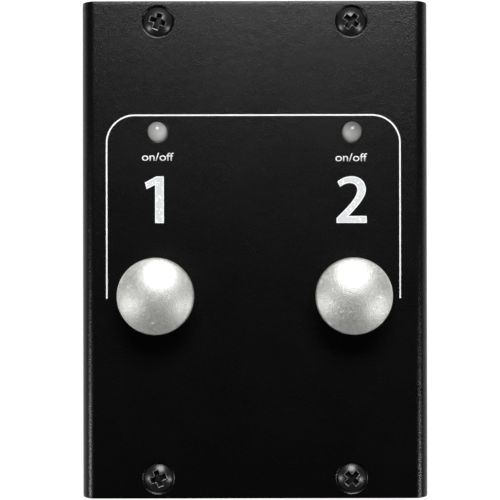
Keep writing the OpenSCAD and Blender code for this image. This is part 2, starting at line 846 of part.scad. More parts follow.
// Three wires from the solder lugs down to the circuit board
module jack_wires() {
    sides = 8;
    steps = 12;
    color("#8a1f1f") in_frame() for (c = contacts) {
        lug_r = blade_r + blade_t / 2;
        lug = [-lug_r * cos(c[0]), lug_end, z_jack + lug_r * sin(c[0])];
        pad = [lug[0], pad_y, z_board];
        p = [lug, lug - [0, wire_lead, 0], pad + [0, 0, wire_lead], pad];
        skin([
            for (i = [0 : steps])
                let (d = slope(p, i / steps), e = cross([1, 0, 0], d / norm(d)))
                    [for (j = [0 : sides - 1])
                        let (b = 360 * j / sides)
                            curve(p, i / steps) + wire_d / 2 * (cos(b) * [1, 0, 0] - sin(b) * e)]
        ]);
    }
}

top_cover();
base_chassis();
cover_screws();
rubber_feet();
foot_screws();
foot_nuts();
button_cap(-1);  // button_cap_1
button_cap(1);  // button_cap_2
plunger(-1);  // plunger_1
plunger(1);  // plunger_2
switch_frame(-1);  // switch_frame_1
switch_frame(1);  // switch_frame_2
switch_housing(-1);  // switch_housing_1
switch_housing(1);  // switch_housing_2
return_spring(-1);  // return_spring_1
return_spring(1);  // return_spring_2
ratchet_rotor(-1);  // ratchet_rotor_1
ratchet_rotor(1);  // ratchet_rotor_2
rotor_contacts(-1);  // rotor_contacts_1
rotor_contacts(1);  // rotor_contacts_2
terminal_base(-1);  // terminal_base_1
terminal_base(1);  // terminal_base_2
terminals(-1);  // terminals_1
terminals(1);  // terminals_2
panel_nuts();
panel_washers();
lock_washers();
back_nuts();
led_lens(-1);  // led_lens_1
led_lens(1);  // led_lens_2
led_leads();
led_spacers();
circuit_board();
resistors();
jack_housing();
jack_bushing();
jack_washer();
jack_nut();
jack_contacts();
jack_wires();
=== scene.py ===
# Looks of a two-button amplifier footswitch, seen from straight above
import json
import math

import bmesh
import bpy
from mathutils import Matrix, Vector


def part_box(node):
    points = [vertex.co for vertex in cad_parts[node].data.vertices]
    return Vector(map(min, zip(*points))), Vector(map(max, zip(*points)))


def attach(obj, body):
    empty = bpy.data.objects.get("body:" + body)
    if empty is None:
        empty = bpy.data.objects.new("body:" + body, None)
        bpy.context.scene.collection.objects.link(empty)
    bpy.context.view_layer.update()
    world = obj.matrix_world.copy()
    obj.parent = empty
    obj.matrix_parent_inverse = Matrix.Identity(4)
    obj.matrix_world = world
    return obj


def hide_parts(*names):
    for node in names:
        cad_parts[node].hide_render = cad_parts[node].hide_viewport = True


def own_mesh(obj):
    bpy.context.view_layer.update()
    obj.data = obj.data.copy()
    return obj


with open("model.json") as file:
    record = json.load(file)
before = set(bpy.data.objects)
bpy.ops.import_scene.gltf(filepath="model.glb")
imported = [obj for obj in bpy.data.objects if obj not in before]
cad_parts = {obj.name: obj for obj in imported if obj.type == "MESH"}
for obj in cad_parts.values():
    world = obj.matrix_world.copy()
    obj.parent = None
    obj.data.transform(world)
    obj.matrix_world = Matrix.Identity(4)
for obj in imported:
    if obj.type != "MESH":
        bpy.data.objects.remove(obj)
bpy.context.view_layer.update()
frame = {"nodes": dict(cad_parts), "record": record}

mm = 0.001
hair = 1e-6

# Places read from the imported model
cover_low, cover_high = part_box("top_cover")
screw_low, screw_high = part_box("cover_screws")
cap_low, cap_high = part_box("button_cap_1")
lens_low, lens_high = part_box("led_lens_1")
nut_low, nut_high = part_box("panel_nuts")
washer_low, washer_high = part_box("panel_washers")
feet_low, feet_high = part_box("rubber_feet")
foot_screw_low, foot_screw_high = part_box("foot_screws")
spring_low, spring_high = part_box("return_spring_1")
jack_nut_low, jack_nut_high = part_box("jack_nut")
jack_washer_low, jack_washer_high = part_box("jack_washer")
jack_bush_low, jack_bush_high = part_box("jack_bushing")
contact_low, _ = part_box("jack_contacts")
_, board_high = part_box("circuit_board")
plate_z = cover_high.z
middle_y = (cover_low.y + cover_high.y) / 2
case_w = cover_high.x - cover_low.x
case_l = cover_high.y - cover_low.y
button_x = -(cap_low.x + cap_high.x) / 2
button_y = (cap_low.y + cap_high.y) / 2
lamp_x = -(lens_low.x + lens_high.x) / 2
lamp_y = (lens_low.y + lens_high.y) / 2
lens_r = 2.5 * mm
head_r = 3.75 * mm
screw_x = screw_high.x - head_r
screw_rear = screw_high.y - head_r
screw_front = screw_low.y + head_r
jack_z = (jack_nut_low.z + jack_nut_high.z) / 2
switch_hole_r = 6.2 * mm


# Modelling helpers
def pick(piece):
    bpy.ops.object.select_all(action="DESELECT")
    piece.select_set(True)
    bpy.context.view_layer.objects.active = piece


def open_mesh(piece, kind="EDGE"):
    pick(piece)
    bpy.ops.object.mode_set(mode="EDIT")
    bpy.ops.mesh.select_mode(type=kind)
    bpy.ops.mesh.select_all(action="DESELECT")


def close_mesh(recalculate=True):
    bpy.ops.mesh.select_all(action="SELECT")
    bpy.ops.mesh.remove_doubles(threshold=hair)
    if recalculate:
        bpy.ops.mesh.normals_make_consistent(inside=False)
    bpy.ops.object.mode_set(mode="OBJECT")


def choose_edges(piece, wanted):
    mesh = bmesh.from_edit_mesh(piece.data)
    for edge in [e for e in mesh.edges if wanted(e)]:
        edge.select_set(True)
    bmesh.update_edit_mesh(piece.data)


def choose_faces(piece, wanted):
    mesh = bmesh.from_edit_mesh(piece.data)
    for face in [f for f in mesh.faces if wanted(f)]:
        face.select_set(True)
    bmesh.update_edit_mesh(piece.data)


def fix_place(piece):
    pick(piece)
    bpy.ops.object.transform_apply(location=True, rotation=True, scale=True)


def apply_modifier(piece, kind, **settings):
    pick(piece)
    modifier = piece.modifiers.new(kind.lower(), kind)
    for key, value in settings.items():
        setattr(modifier, key, value)
    bpy.ops.object.modifier_apply(modifier=modifier.name)


def cut(piece, tool, operation="DIFFERENCE"):
    apply_modifier(piece, "BOOLEAN", object=tool, operation=operation, solver="EXACT")
    bpy.data.objects.remove(tool, do_unlink=True)


def shade(piece, degrees=35, even=True):
    pick(piece)
    bpy.ops.object.shade_smooth_by_angle(angle=math.radians(degrees))
    if even:
        apply_modifier(piece, "WEIGHTED_NORMAL", keep_sharp=True)


def arc(r, z, radius, first, last, steps):
    angles = [math.radians(first + (last - first) * i / steps) for i in range(steps + 1)]
    return [(r + radius * math.cos(a), z + radius * math.sin(a)) for a in angles]


def turned(name, profile, x=0.0, y=0.0, sides=96, ring=False):
    bpy.ops.object.select_all(action="DESELECT")
    fill = "NOTHING" if ring else "NGON"
    first_r, first_z = profile[0]
    bpy.ops.mesh.primitive_circle_add(
        vertices=sides, radius=first_r, fill_type=fill, location=(x, y, first_z))
    piece = bpy.context.object
    piece.name = name
    fix_place(piece)
    open_mesh(piece)
    bpy.ops.mesh.select_all(action="SELECT")
    for (r0, z0), (r1, z1) in zip(profile, profile[1:]):
        bpy.ops.mesh.extrude_edges_move(TRANSFORM_OT_translate={"value": (0, 0, z1 - z0)})
        bpy.ops.transform.resize(value=(r1 / r0, r1 / r0, 1), center_override=(x, y, z1))
    if not ring and profile[-1][0] > 0:
        bpy.ops.mesh.edge_face_add()
    close_mesh()
    return piece


def as_mesh(name, curve):
    shape = bpy.data.objects.new(name, curve)
    bpy.context.scene.collection.objects.link(shape)
    pick(shape)
    bpy.ops.object.convert(target="MESH")
    shape = bpy.context.object
    shape.name = name
    return shape


def lay_on_jack_axis(piece):
    piece.rotation_euler = (-math.pi / 2, 0, 0)
    piece.location = (0, 0, jack_z)
    fix_place(piece)


def pair(name, x, y):
    return [(f"{name}_1", -x, y, 0), (f"{name}_2", x, y, 0)]


def set_out(model, places):
    copies = []
    for name, x, y, turn in places:
        pick(model)
        bpy.ops.object.duplicate(linked=False)
        copy = bpy.context.object
        copy.name = name
        copy.location = (x, y, 0)
        copy.rotation_euler = (0, 0, math.radians(turn))
        fix_place(copy)
        copies.append(copy)
    bpy.data.objects.remove(model, do_unlink=True)
    return copies


def belongs(piece, body, slot, *nodes):
    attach(piece, body)
    if nodes:
        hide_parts(*nodes)


# Shader maths as expressions
class Level:
    def __init__(self, finish, socket):
        self.finish = finish
        self.socket = socket

    def maths(self, operation, first, second):
        node = self.finish.add("ShaderNodeMath", {"operation": operation}, {0: first, 1: second})
        return Level(self.finish, node.outputs[0])

    def __add__(self, other):
        return self.maths("ADD", self, other)

    def __radd__(self, other):
        return self.maths("ADD", other, self)

    def __sub__(self, other):
        return self.maths("SUBTRACT", self, other)

    def __rsub__(self, other):
        return self.maths("SUBTRACT", other, self)

    def __mul__(self, other):
        return self.maths("MULTIPLY", self, other)

    def __rmul__(self, other):
        return self.maths("MULTIPLY", other, self)

    def __pow__(self, other):
        return self.maths("POWER", self, other)


class Finish:
    def __init__(self, name, tree=None):
        self.material = None
        if tree is None:
            self.material = bpy.data.materials.new(name)
            self.material.use_nodes = True
            tree = self.material.node_tree
        self.tree = tree
        self.tree.nodes.clear()

    def add(self, kind, settings=None, sockets=None):
        node = self.tree.nodes.new(kind)
        for key, value in (settings or {}).items():
            if key == "stops":
                ramp = node.color_ramp
                ramp.elements[0].position, ramp.elements[0].color = value[0]
                ramp.elements[1].position, ramp.elements[1].color = value[-1]
                for position, colour in value[1:-1]:
                    ramp.elements.new(position).color = colour
            else:
                setattr(node, key, value)
        for key, value in (sockets or {}).items():
            self.feed(node.inputs[key], value)
        return node

    def feed(self, socket, value):
        if isinstance(value, Level):
            value = value.socket
        if isinstance(value, bpy.types.NodeSocket):
            self.tree.links.new(value, socket)
        else:
            socket.default_value = value

    def place(self):
        return self.add("ShaderNodeTexCoord").outputs["Object"]

    def noise(self, size, detail=2.0, rough=0.5, stretch=(1, 1, 1)):
        place = self.place()
        if stretch != (1, 1, 1):
            place = self.add("ShaderNodeMapping", None, {"Vector": place, "Scale": stretch}).outputs[0]
        node = self.add("ShaderNodeTexNoise", None, {
            "Vector": place, "Scale": 1 / size, "Detail": detail, "Roughness": rough})
        return Level(self, node.outputs["Fac"])

    def cells(self, size):
        node = self.add("ShaderNodeTexVoronoi", None, {"Vector": self.place(), "Scale": 1 / size})
        shade_of_cell = self.add("ShaderNodeSeparateColor", None, {0: node.outputs["Color"]})
        return Level(self, shade_of_cell.outputs[0])

    def rise(self, value, low, high, ease="LINEAR"):
        node = self.add("ShaderNodeMapRange", {"interpolation_type": ease}, {
            "Value": value, "From Min": low, "From Max": high})
        return Level(self, node.outputs[0])

    def ramp(self, value, stops):
        stops = [(position, (*colour, 1)) for position, colour in stops]
        return self.add("ShaderNodeValToRGB", {"stops": stops}, {0: value}).outputs[0]

    def between(self, value, dark, light):
        return self.ramp(value, [(0, dark), (1, light)])

    def bump(self, height, depth, strength=1.0):
        node = self.add("ShaderNodeBump", None, {
            "Height": height, "Distance": depth, "Strength": strength})
        return node.outputs[0]

    def surface(self, sockets):
        shader = self.add("ShaderNodeBsdfPrincipled", None, sockets)
        self.add("ShaderNodeOutputMaterial", None, {"Surface": shader.outputs[0]})
        return self.material


def grey(level):
    return (level, level, level)


# Finishes
def powder_coat(name):
    f = Finish(name)
    peel = f.noise(1.9 * mm, 3.0, 0.6)
    grit = f.noise(0.36 * mm, 2.0, 0.6)
    dust = f.noise(14 * mm, 3.0)
    return f.surface({
        "Base Color": f.between(dust, (0.0006, 0.0006, 0.0007), (0.0012, 0.0012, 0.0013)),
        "Roughness": 0.225 + 0.06 * grit + 0.04 * dust,
        "Specular IOR Level": 0.39,
        "Normal": f.bump(grit * 0.5 + peel * 0.5, 0.085 * mm, 1.0),
    })


def satin_silver(name):
    f = Finish(name)
    flake = f.cells(0.25 * mm)
    grain = f.noise(0.32 * mm, 2.0, 0.6)
    drift = f.noise(5 * mm, 2.0)
    # Glint flakes: smoother, so they really sparkle, and also painted lighter in the base colour as a
    # painted lift against the shade their narrow reflection leaves
    glint_and_painted_lift = f.rise(f.cells(0.6 * mm), 0.95, 0.98)
    tone = flake * 0.7 + drift * 0.3 + glint_and_painted_lift
    return f.surface({
        "Base Color": f.between(tone, (0.545, 0.545, 0.522), (0.82, 0.82, 0.787)),
        "Metallic": 0.65 - 0.45 * glint_and_painted_lift,
        "Roughness": 0.33 + 0.12 * flake - 0.2 * glint_and_painted_lift,
        "Normal": f.bump(grain, 0.1 * mm, 1.0),
    })


def black_oxide(name):
    f = Finish(name)
    grain = f.noise(0.35 * mm, 3.0, 0.6)
    drift = f.noise(2.5 * mm, 2.0)
    return f.surface({
        "Base Color": f.between(drift, (0.007, 0.007, 0.0073), (0.012, 0.012, 0.0117)),
        "Roughness": 0.25 + 0.1 * grain,
        "Specular IOR Level": 0.6,
        "Normal": f.bump(grain, 0.015 * mm, 0.5),
    })


def worn_and_highlit_edge(name):
    f = Finish(name)
    # Patches of bare worn steel, painted light grey so that they also serve as painted highlight lines
    bare_and_highlit = f.noise(0.5 * mm, 2.0, 0.6)
    stops = [(0, grey(0.02)), (0.38, (0.05, 0.05, 0.048)), (0.58, (0.4, 0.39, 0.36)), (1, (0.5, 0.49, 0.46))]
    return f.surface({
        "Base Color": f.ramp(bare_and_highlit, stops),
        "Metallic": 0.5,
        "Roughness": 0.3 + 0.2 * bare_and_highlit,
        "Normal": f.bump(bare_and_highlit, 0.02 * mm, 0.6),
    })


# Milky lens; dark is the colour of its painted shade at the rear and outer side
def milky_lens(name, dark):
    f = Finish(name)
    grain = f.noise(0.3 * mm, 2.0)
    place = f.add("ShaderNodeSeparateXYZ", None, {0: f.place()}).outputs
    off_middle = f.add("ShaderNodeMath", {"operation": "ABSOLUTE"}, {0: place["X"]}).outputs[0]

    # Painted light: the base colour is lighter towards the front and the inner side, with painted shade down
    # to dark at the rear and outer side
    front = f.rise(place["Y"], lamp_y + lens_r, lamp_y - lens_r)
    inner = f.rise(off_middle, lamp_x + lens_r, lamp_x - lens_r)
    painted_light_mask = (0.7 * front + 0.3 * inner) ** 2.3
    return f.surface({
        "Base Color": f.between(painted_light_mask, grey(dark), (1.0, 1.0, 0.97)),
        "Roughness": 0.1 + 0.04 * grain,
        "IOR": 1.5,
        "Subsurface Weight": 1.0,
        "Subsurface Radius": (1, 1, 1),
        "Subsurface Scale": 8 * mm,
        "Subsurface Anisotropy": 0.8,
        "Normal": f.bump(grain, 0.002 * mm, 0.3),
    })


def white_ink(name, dark, light):
    f = Finish(name)
    patch = f.noise(0.62 * mm, 2.0, 0.5)
    grain = f.noise(0.25 * mm, 2.0)
    return f.surface({
        "Base Color": f.ramp(patch, [(0, dark), (0.59, dark), (0.64, light), (1, light)]),
        "Roughness": 0.5 + 0.15 * grain,
        "Normal": f.bump(grain, 0.01 * mm, 0.4),
    })


def moulded(name, dark, light, rough, grain_size, depth):
    f = Finish(name)
    grain = f.noise(grain_size, 3.0, 0.55)
    drift = f.noise(7 * mm, 2.0)
    return f.surface({
        "Base Color": f.between(drift * 0.6 + grain * 0.4, dark, light),
        "Roughness": rough + 0.12 * grain,
        "Normal": f.bump(grain, depth, 0.6),
    })


def bare_metal(name, dark, light, rough, grain_size, stretch=(1, 1, 1)):
    f = Finish(name)
    grain = f.noise(grain_size, 3.0, 0.6, stretch)
    drift = f.noise(4 * mm, 2.0)
    return f.surface({
        "Base Color": f.between(drift * 0.5 + grain * 0.5, dark, light),
        "Metallic": 1.0,
        "Roughness": rough + 0.16 * grain,
        "Normal": f.bump(grain, 0.006 * mm, 0.5),
    })


# Colours, roughness, grain size and grain depth
mouldings = {
    "rubber": (grey(0.01), (0.022, 0.022, 0.021), 0.66, 0.5 * mm, 0.03 * mm),
    "blue_moulding": ((0.012, 0.03, 0.07), (0.02, 0.05, 0.11), 0.4, 0.4 * mm, 0.01 * mm),
    "ivory_nylon": ((0.6, 0.56, 0.45), (0.72, 0.68, 0.57), 0.42, 0.5 * mm, 0.01 * mm),
    "brown_laminate": ((0.09, 0.045, 0.02), (0.15, 0.08, 0.035), 0.5, 0.6 * mm, 0.01 * mm),
    "black_nylon": ((0.009, 0.009, 0.01), (0.018, 0.018, 0.019), 0.45, 0.4 * mm, 0.012 * mm),
    "green_board": ((0.01, 0.07, 0.03), (0.02, 0.12, 0.05), 0.32, 1.2 * mm, 0.008 * mm),
    "resistor_tan": ((0.5, 0.38, 0.2), (0.62, 0.5, 0.3), 0.42, 0.6 * mm, 0.01 * mm),
    "red_wire": ((0.25, 0.012, 0.012), (0.4, 0.025, 0.02), 0.4, 0.5 * mm, 0.006 * mm),
    # Painted shade for inside the screws' cross recess, darker than their black steel
    "painted_recess_shade": (grey(0.001), grey(0.003), 0.6, 0.3 * mm, 0.01 * mm),
}

# Colours, roughness, grain size and stretch of the grain
turning = (1, 1, 12)
metals = {
    "zinc_steel": ((0.46, 0.47, 0.49), (0.64, 0.65, 0.66), 0.28, 0.6 * mm),
    "plunger_steel": ((0.5, 0.5, 0.51), (0.66, 0.66, 0.67), 0.2, 0.8 * mm, turning),
    "spring_steel": ((0.4, 0.4, 0.42), (0.56, 0.56, 0.57), 0.26, 0.5 * mm),
    "contact_brass": ((0.62, 0.44, 0.16), (0.78, 0.6, 0.28), 0.26, 0.5 * mm),
    "nickel": ((0.55, 0.54, 0.51), (0.7, 0.69, 0.66), 0.2, 0.7 * mm, turning),
}
finishes = {
    "case_black": powder_coat("case_black"),
    "black_steel": black_oxide("black_steel"),
    "worn_and_highlit_steel": worn_and_highlit_edge("worn_and_highlit_steel"),
    "satin_cap": satin_silver("satin_cap"),
    "lamp_lens": milky_lens("lamp_lens", 0.23),
    # Copy of the lens finish with deeper painted shade
    "more_shaded_lens": milky_lens("more_shaded_lens", 0.12),
    "white_ink": white_ink("white_ink", (0.93, 0.93, 0.92), (0.99, 0.99, 0.98)),
    "numeral_ink": white_ink("numeral_ink", (0.67, 0.7, 0.715), (0.97, 0.98, 0.98)),
}
for name, look in mouldings.items():
    finishes[name] = moulded(name, *look)
for name, look in metals.items():
    finishes[name] = bare_metal(name, *look)


def paint(piece, material):
    piece.data.materials.clear()
    piece.data.materials.append(material)


for part in frame["record"]["subparts"]:
    node = frame["nodes"][part["node"]]
    for slot in node.material_slots:
        slot.material = finishes[part["material_slot"]]


# Folded cover
def folded_cover():
    sheet = 1.5 * mm
    bend = 3.5 * mm
    side_h = cover_high.z - cover_low.z
    bpy.ops.object.select_all(action="DESELECT")
    bpy.ops.mesh.primitive_plane_add(size=1, location=(0, middle_y, plate_z))
    cover = bpy.context.object
    cover.name = "folded_cover"
    cover.scale = (case_w, case_l, 1)
    fix_place(cover)

    # The two sides are folded down, and the folds are rounded
    open_mesh(cover)
    choose_edges(cover, lambda e: e.verts[0].co.x * e.verts[1].co.x > 0)
    bpy.ops.mesh.extrude_edges_move(TRANSFORM_OT_translate={"value": (0, 0, -side_h)})
    bpy.ops.mesh.select_all(action="DESELECT")

    def on_fold(edge):
        high = all(v.co.z > plate_z - hair for v in edge.verts)
        return high and edge.verts[0].co.x * edge.verts[1].co.x > 0

    choose_edges(cover, on_fold)
    bpy.ops.mesh.bevel(offset=bend, segments=14, affect="EDGES")
    close_mesh()
    apply_modifier(cover, "SOLIDIFY", thickness=sheet, offset=-1)

    # How far a corner of the mesh stands out from the folds' centre lines
    def reach(vertex):
        x = abs(vertex.co.x) - (case_w / 2 - bend)
        z = vertex.co.z - (plate_z - bend)
        return max(x, 0), max(z, 0)

    def outside(vertex):
        return math.hypot(*reach(vertex)) > bend - sheet * 0.6

    # The sheared ends roll off a little on the outside
    roll = 1.0 * mm
    roll_steps = 8
    drop = 0.055 * mm
    draw_in = 0.2 * mm
    open_mesh(cover)
    for count in range(roll_steps):
        for end in (-1, 1):
            bpy.ops.mesh.select_all(action="SELECT")
            where = (0, middle_y + end * (case_l / 2 - roll * (1 - count / roll_steps)), 0)
            bpy.ops.mesh.bisect(plane_co=where, plane_no=(0, 1, 0))
    close_mesh()
    for vertex in cover.data.vertices:
        from_middle = vertex.co.y - middle_y
        near = (abs(from_middle) - case_l / 2 + roll) / roll
        if near > 0:
            x, z = reach(vertex)
            if outside(vertex):
                pull = drop * near ** 1.6 / math.hypot(x, z)
                vertex.co.x -= math.copysign(x * pull, vertex.co.x)
                vertex.co.z -= z * pull
            drawn = draw_in * near * x ** 2 / (x ** 2 + z ** 2)
            vertex.co.y -= math.copysign(drawn, from_middle)

    # Rounded edges of the cut sheet
    for outer, round_r in ((True, 0.12 * mm), (False, 0.35 * mm)):
        open_mesh(cover)
        choose_edges(cover, lambda e: e.calc_face_angle(0) > 1 and all(outside(v) == outer for v in e.verts))
        bpy.ops.mesh.bevel(offset=round_r, segments=3, affect="EDGES")
        close_mesh()

    # Countersinks, switch holes and lamp holes
    past = 1 * mm
    under_z = plate_z - sheet
    sink_r = 4.43 * mm
    sink_low_r = 2.6 * mm
    lip_r = 0.8 * mm
    lip_over = 0.004 * mm
    lamp_hole_r = 2.7 * mm
    rim_r = 0.45 * mm
    lip = arc(sink_r, plate_z - lip_r + lip_over, lip_r, 135, 90, 8)
    cone = [(sink_low_r - past, under_z - past)] + lip + [(sink_r, plate_z + past)]
    for x in (-screw_x, screw_x):
        for y in (screw_front, screw_rear):
            cut(cover, turned("countersink", cone, x, y, 64))
    holes = [("switch_hole", switch_hole_r, button_x, button_y), ("lamp_hole", lamp_hole_r, lamp_x, lamp_y)]
    for name, hole_r, hole_x, y in holes:
        for x in (-hole_x, hole_x):
            bore = [(hole_r, under_z - past), (hole_r, plate_z + past)]
            cut(cover, turned(name, bore, x, y, 64))

    # Rounded rims of the holes
    def on_rim(edge):
        level = all(abs(v.co.z - plate_z) < hair for v in edge.verts)
        return level and edge.calc_face_angle(0) > 0.8

    open_mesh(cover)
    choose_edges(cover, on_rim)
    bpy.ops.mesh.bevel(offset=rim_r, segments=5, affect="EDGES")
    close_mesh(recalculate=False)
    paint(cover, finishes["case_black"])
    shade(cover, 40)
    belongs(cover, "case", "case_black", "top_cover")


folded_cover()


# Raised countersunk screws with a cross recess
def cross_tool(top_z, deep, span, width, core, past, narrow):
    middle = top_z - (deep - past) / 2
    bpy.ops.object.select_all(action="DESELECT")
    bpy.ops.mesh.primitive_cone_add(
        vertices=24, radius1=core * 0.5, radius2=core * 1.1, depth=deep + past, location=(0, 0, middle))
    tool = bpy.context.object
    fix_place(tool)
    for turn in (0, 90):
        bpy.ops.object.select_all(action="DESELECT")
        bpy.ops.mesh.primitive_cube_add(size=1, location=(0, 0, middle))
        wing = bpy.context.object
        wing.scale = (span, width, deep + past)
        fix_place(wing)
        open_mesh(wing, "FACE")
        choose_faces(wing, lambda f: f.normal.z < -0.5)
        bpy.ops.transform.resize(value=(narrow, 0.85, 1), center_override=(0, 0, top_z - deep))
        close_mesh()
        wing.rotation_euler = (0, 0, math.radians(turn))
        fix_place(wing)
        cut(tool, wing, "UNION")
    return tool


def cover_screw():
    crown = 1.3 * mm
    rim_z = screw_high.z - crown
    crown_r = (head_r ** 2 + crown ** 2) / (2 * crown)
    shank_r = 2.0 * mm
    point = 0.5 * mm
    cone_h = 1.75 * mm
    edge_t = 0.12 * mm
    profile = [(shank_r - point, screw_low.z), (shank_r, screw_low.z + point)]
    profile += [(shank_r, rim_z - cone_h), (head_r, rim_z - edge_t), (head_r, rim_z)]
    screw = turned("cover_screw", profile, sides=96)
    cut(screw, cross_tool(
        rim_z, deep=2.1 * mm, span=4.5 * mm, width=1.4 * mm, core=1.05 * mm, past=0.4 * mm, narrow=0.7))

    # Rolled rims of the head and of the recess; the recess rim is bare steel where the driver has rubbed the
    # black away, and its light grey also stands as a painted highlight along the rim
    def on_top(edge, inner):
        level = all(abs(v.co.z - rim_z) < hair for v in edge.verts)
        near = all(math.hypot(v.co.x, v.co.y) < 3 * mm for v in edge.verts)
        return level and near == inner and edge.calc_face_angle(0) > 0.5

    paint(screw, finishes["black_steel"])
    for finish in ("painted_recess_shade", "worn_and_highlit_steel"):
        screw.data.materials.append(finishes[finish])
    open_mesh(screw)
    choose_edges(screw, lambda e: on_top(e, False))
    bpy.ops.mesh.bevel(offset=0.1 * mm, segments=3, affect="EDGES")
    bpy.ops.mesh.select_all(action="DESELECT")
    choose_edges(screw, lambda e: on_top(e, True))
    bpy.ops.mesh.bevel(offset=0.13 * mm, segments=3, affect="EDGES", material=2)

    # The flat top gets a fine grid and is raised to a dome
    step = 0.25 * mm
    lines = 16
    rim_t = 0.14 * mm
    recess_r = 1.98 * mm
    recess_low = rim_z - 2.2 * mm
    for count in range(-lines, lines + 1):
        for axis in ((1, 0, 0), (0, 1, 0)):
            bpy.ops.mesh.select_all(action="DESELECT")
            choose_faces(screw, lambda f: f.normal.z > 0.99)
            where = (axis[0] * count * step, axis[1] * count * step, rim_z)
            bpy.ops.mesh.bisect(plane_co=where, plane_no=axis)
    close_mesh()

    # Slivers that close up to two faces back to back are taken away
    def back_to_back(face):
        corners = set(face.verts)
        return any(other is not face and set(other.verts) == corners for other in face.edges[0].link_faces)

    open_mesh(screw, "FACE")
    choose_faces(screw, back_to_back)
    bpy.ops.mesh.delete(type="FACE")
    close_mesh()
    for vertex in screw.data.vertices:
        out = math.hypot(vertex.co.x, vertex.co.y)
        in_recess = out < recess_r and vertex.co.z > recess_low
        if vertex.co.z > rim_z - rim_t or in_recess:
            vertex.co.z += math.sqrt(max(crown_r ** 2 - out ** 2, 0)) - (crown_r - crown)
    # Faces down in the cross recess get the painted recess shade
    for face in screw.data.polygons:
        middle = face.center
        out = math.hypot(middle.x, middle.y)
        dome_z = screw_high.z - crown_r + math.sqrt(crown_r ** 2 - out ** 2)
        if out < 2.4 * mm and recess_low < middle.z < dome_z - rim_t:
            face.material_index = 1
    shade(screw, 40, even=False)
    return screw


screw_places = [
    ("cover_screw_rear_left", -screw_x, screw_rear, -19),
    ("cover_screw_rear_right", screw_x, screw_rear, -37),
    ("cover_screw_front_left", -screw_x, screw_front, 19),
    ("cover_screw_front_right", screw_x, screw_front, 45),
]
for piece in set_out(cover_screw(), screw_places):
    belongs(piece, "case", "black_steel", "cover_screws")


# Domed button caps
def button_cap():
    low = cap_low.z
    dome_r = 16 * mm
    edge_r = 1.1 * mm
    outer = (cap_high.x - cap_low.x) / 2
    widest = low + 2 * mm
    reach = math.degrees(math.asin((outer - edge_r) / (dome_r - edge_r)))
    middle = widest - math.sqrt((dome_r - edge_r) ** 2 - (outer - edge_r) ** 2)
    bore_r = 3.25 * mm
    hub_r = 4.7 * mm
    skirt_r = 7.85 * mm
    ease = 0.2 * mm
    hollow = low + 1.5 * mm
    foot_r = 0.4 * mm
    profile = [(bore_r, low + 3.45 * mm), (bore_r, low + ease), (bore_r + ease, low)]
    profile += [(hub_r - ease, low), (hub_r, low + ease), (hub_r, hollow)]
    profile += [(skirt_r, hollow), (skirt_r, low + ease), (skirt_r + ease, low)]
    profile += arc(outer - foot_r, low + foot_r, foot_r, -90, 0, 5)
    profile += arc(outer - edge_r, widest, edge_r, 0, 90 - reach, 8)
    profile += arc(0, middle, dome_r, 90 - reach, 90, 28)[1:]
    profile[-1] = (0, cap_high.z)
    cap = turned("button_cap", profile, sides=128)
    paint(cap, finishes["satin_cap"])
    shade(cap, 40, even=False)
    return cap


for number, piece in enumerate(set_out(button_cap(), pair("domed_cap", button_x, button_y)), 1):
    belongs(piece, f"button_{number}", "satin_cap", f"button_cap_{number}")


# Indicator lamp lenses
def lamp_lens():
    flange = (lens_high.x - lens_low.x) / 2
    equator = lens_high.z - lens_r
    low = lens_low.z
    top = low + 1 * mm
    ease = 0.15 * mm
    profile = [(flange - ease, low), (flange, low + ease), (flange, top - ease)]
    profile += [(flange - ease, top), (lens_r, top)]
    profile += arc(0, equator, lens_r, 0, 90, 20)
    profile[-1] = (0, lens_high.z)
    lens = turned("lamp_lens", profile, sides=64)
    paint(lens, finishes["lamp_lens"])
    shade(lens, 40, even=False)
    return lens


# The lens on the right gets a copy of the lens finish with deeper painted shade
for number, piece in enumerate(set_out(lamp_lens(), pair("lamp_lens", lamp_x, lamp_y)), 1):
    belongs(piece, "case", "lamp_lens", f"led_lens_{number}")
    if number == 2:
        paint(piece, finishes["more_shaded_lens"])
    piece.visible_shadow = False


# Six-sided nuts with chamfered corners
def hex_nut(name, across, bore, low, high, finish):
    corner = across / 2 / math.cos(math.pi / 6)
    bpy.ops.object.select_all(action="DESELECT")
    bpy.ops.mesh.primitive_cylinder_add(
        vertices=6, radius=corner, depth=high - low, location=(0, 0, (low + high) / 2),
        rotation=(0, 0, math.pi / 6))
    nut = bpy.context.object
    nut.name = name
    fix_place(nut)
    past = 0.1 * mm
    face_r = across / 2 * 0.97
    drop = (corner + past - face_r) * math.tan(math.radians(30))
    blank = [(face_r, low), (corner + past, low + drop), (corner + past, high - drop), (face_r, high)]
    cut(nut, turned("nut_blank", blank, sides=96), "INTERSECT")
    lead = 0.45 * mm
    tool = [(bore + lead + past, low - past), (bore, low + lead), (bore, high - lead)]
    tool += [(bore + lead + past, high + past)]
    cut(nut, turned("nut_bore", tool, sides=64))
    apply_modifier(nut, "BEVEL", width=0.07 * mm, segments=2, limit_method="ANGLE",
                   angle_limit=math.radians(40), use_clamp_overlap=True)
    paint(nut, finishes[finish])
    shade(nut, 30)
    return nut


def flat_washer(name, outer, bore, low, high, edge, finish):
    profile = arc(outer - edge, low + edge, edge, -90, 0, 3) + arc(outer - edge, high - edge, edge, 0, 90, 3)
    profile += [(bore + edge, high), (bore, high - edge), (bore, low + edge), (bore + edge, low)]
    profile += profile[:1]
    washer = turned(name, profile, sides=96, ring=True)
    paint(washer, finishes[finish])
    shade(washer, 40)
    return washer


panel_nut = hex_nut("panel_nut", 14 * mm, 6.05 * mm, nut_low.z, nut_high.z, "nickel")
for piece in set_out(panel_nut, pair("panel_nut", button_x, button_y)):
    belongs(piece, "case", "nickel", "panel_nuts")

